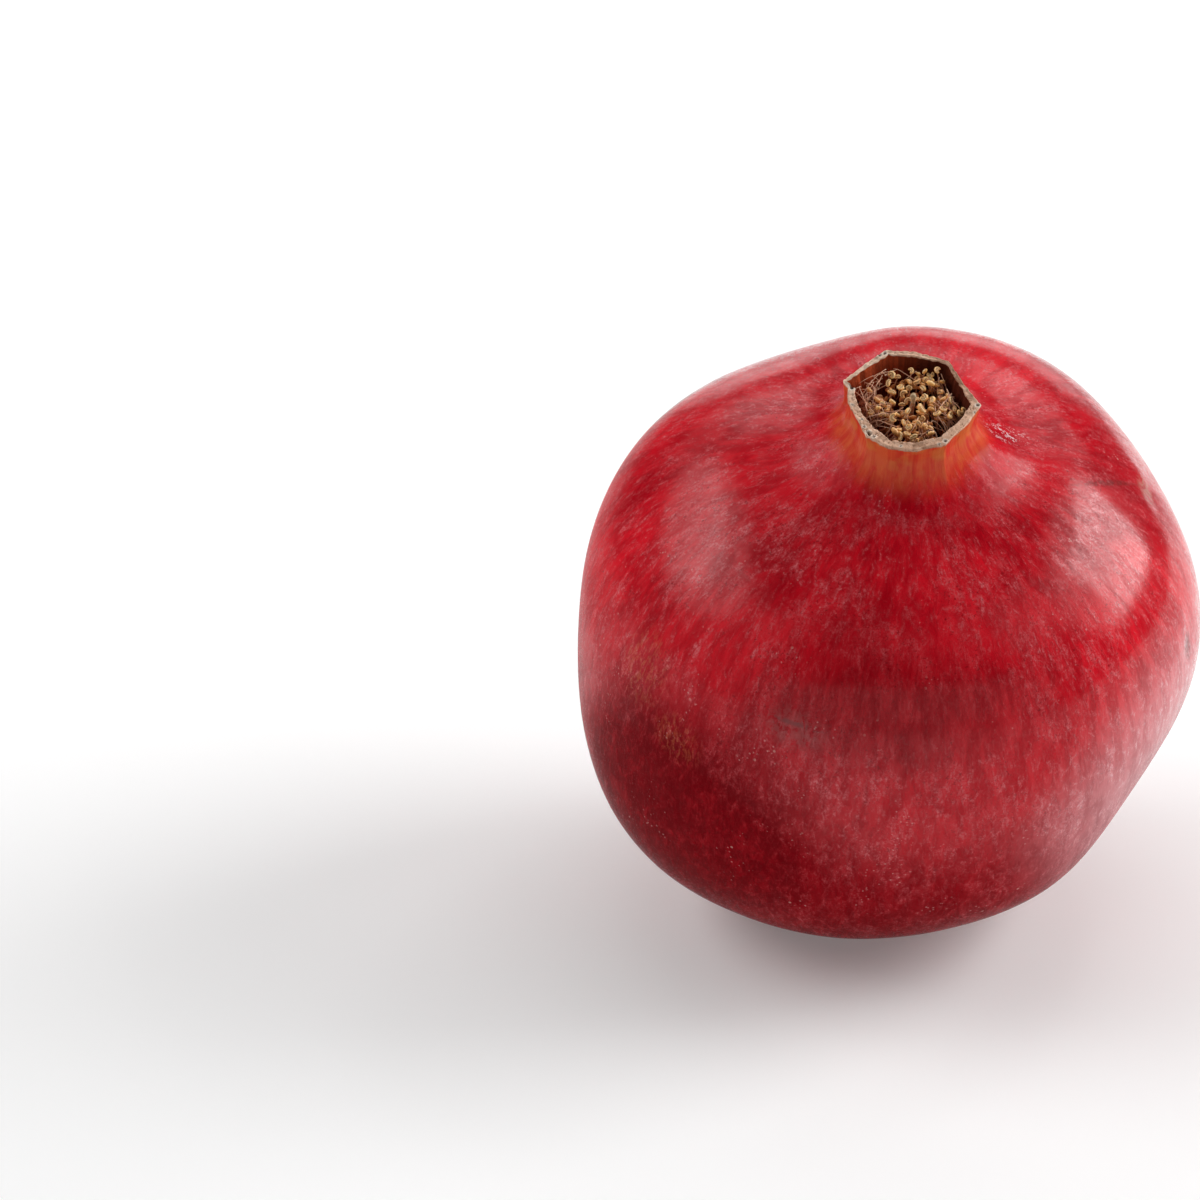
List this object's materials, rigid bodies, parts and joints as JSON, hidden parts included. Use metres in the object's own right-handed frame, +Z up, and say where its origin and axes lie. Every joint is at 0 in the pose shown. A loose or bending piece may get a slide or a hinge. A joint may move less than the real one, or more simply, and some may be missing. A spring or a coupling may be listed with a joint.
{
  "type": "pomegranate",
  "caption": "Whole ripe pomegranate with a leathery red rind, a broken six-cornered crown full of dried stamens, and a stub of stem.",
  "frame": {"origin": "on the resting surface, at the middle of the fruit's width and depth", "axes": "+Z up; the fruit rests on its flat spot and leans over, with its crown towards -Y and a little towards +X; the stub of stem is low at the +Y side"},
  "size_m": [0.0974, 0.0972, 0.0966],
  "materials": {
    "rind": "satin",
    "stamens": "matte",
    "style": "matte",
    "stem": "matte"
  },
  "bodies": {
    "root": {"rind_with_crown": "rind", "stamen_01": "stamens", "stamen_02": "stamens", "stamen_03": "stamens", "stamen_04": "stamens", "stamen_05": "stamens", "stamen_06": "stamens", "stamen_07": "stamens", "stamen_08": "stamens", "stamen_09": "stamens", "stamen_10": "stamens", "stamen_11": "stamens", "stamen_12": "stamens", "stamen_13": "stamens", "stamen_14": "stamens", "stamen_15": "stamens", "stamen_16": "stamens", "stamen_17": "stamens", "stamen_18": "stamens", "stamen_19": "stamens", "stamen_20": "stamens", "stamen_21": "stamens", "stamen_22": "stamens", "stamen_23": "stamens", "stamen_24": "stamens", "stamen_25": "stamens", "stamen_26": "stamens", "stamen_27": "stamens", "stamen_28": "stamens", "stamen_29": "stamens", "stamen_30": "stamens", "stamen_31": "stamens", "stamen_32": "stamens", "stamen_33": "stamens", "stamen_34": "stamens", "stamen_35": "stamens", "style": "style", "stem_stub": "stem"}
  },
  "joints": []
}
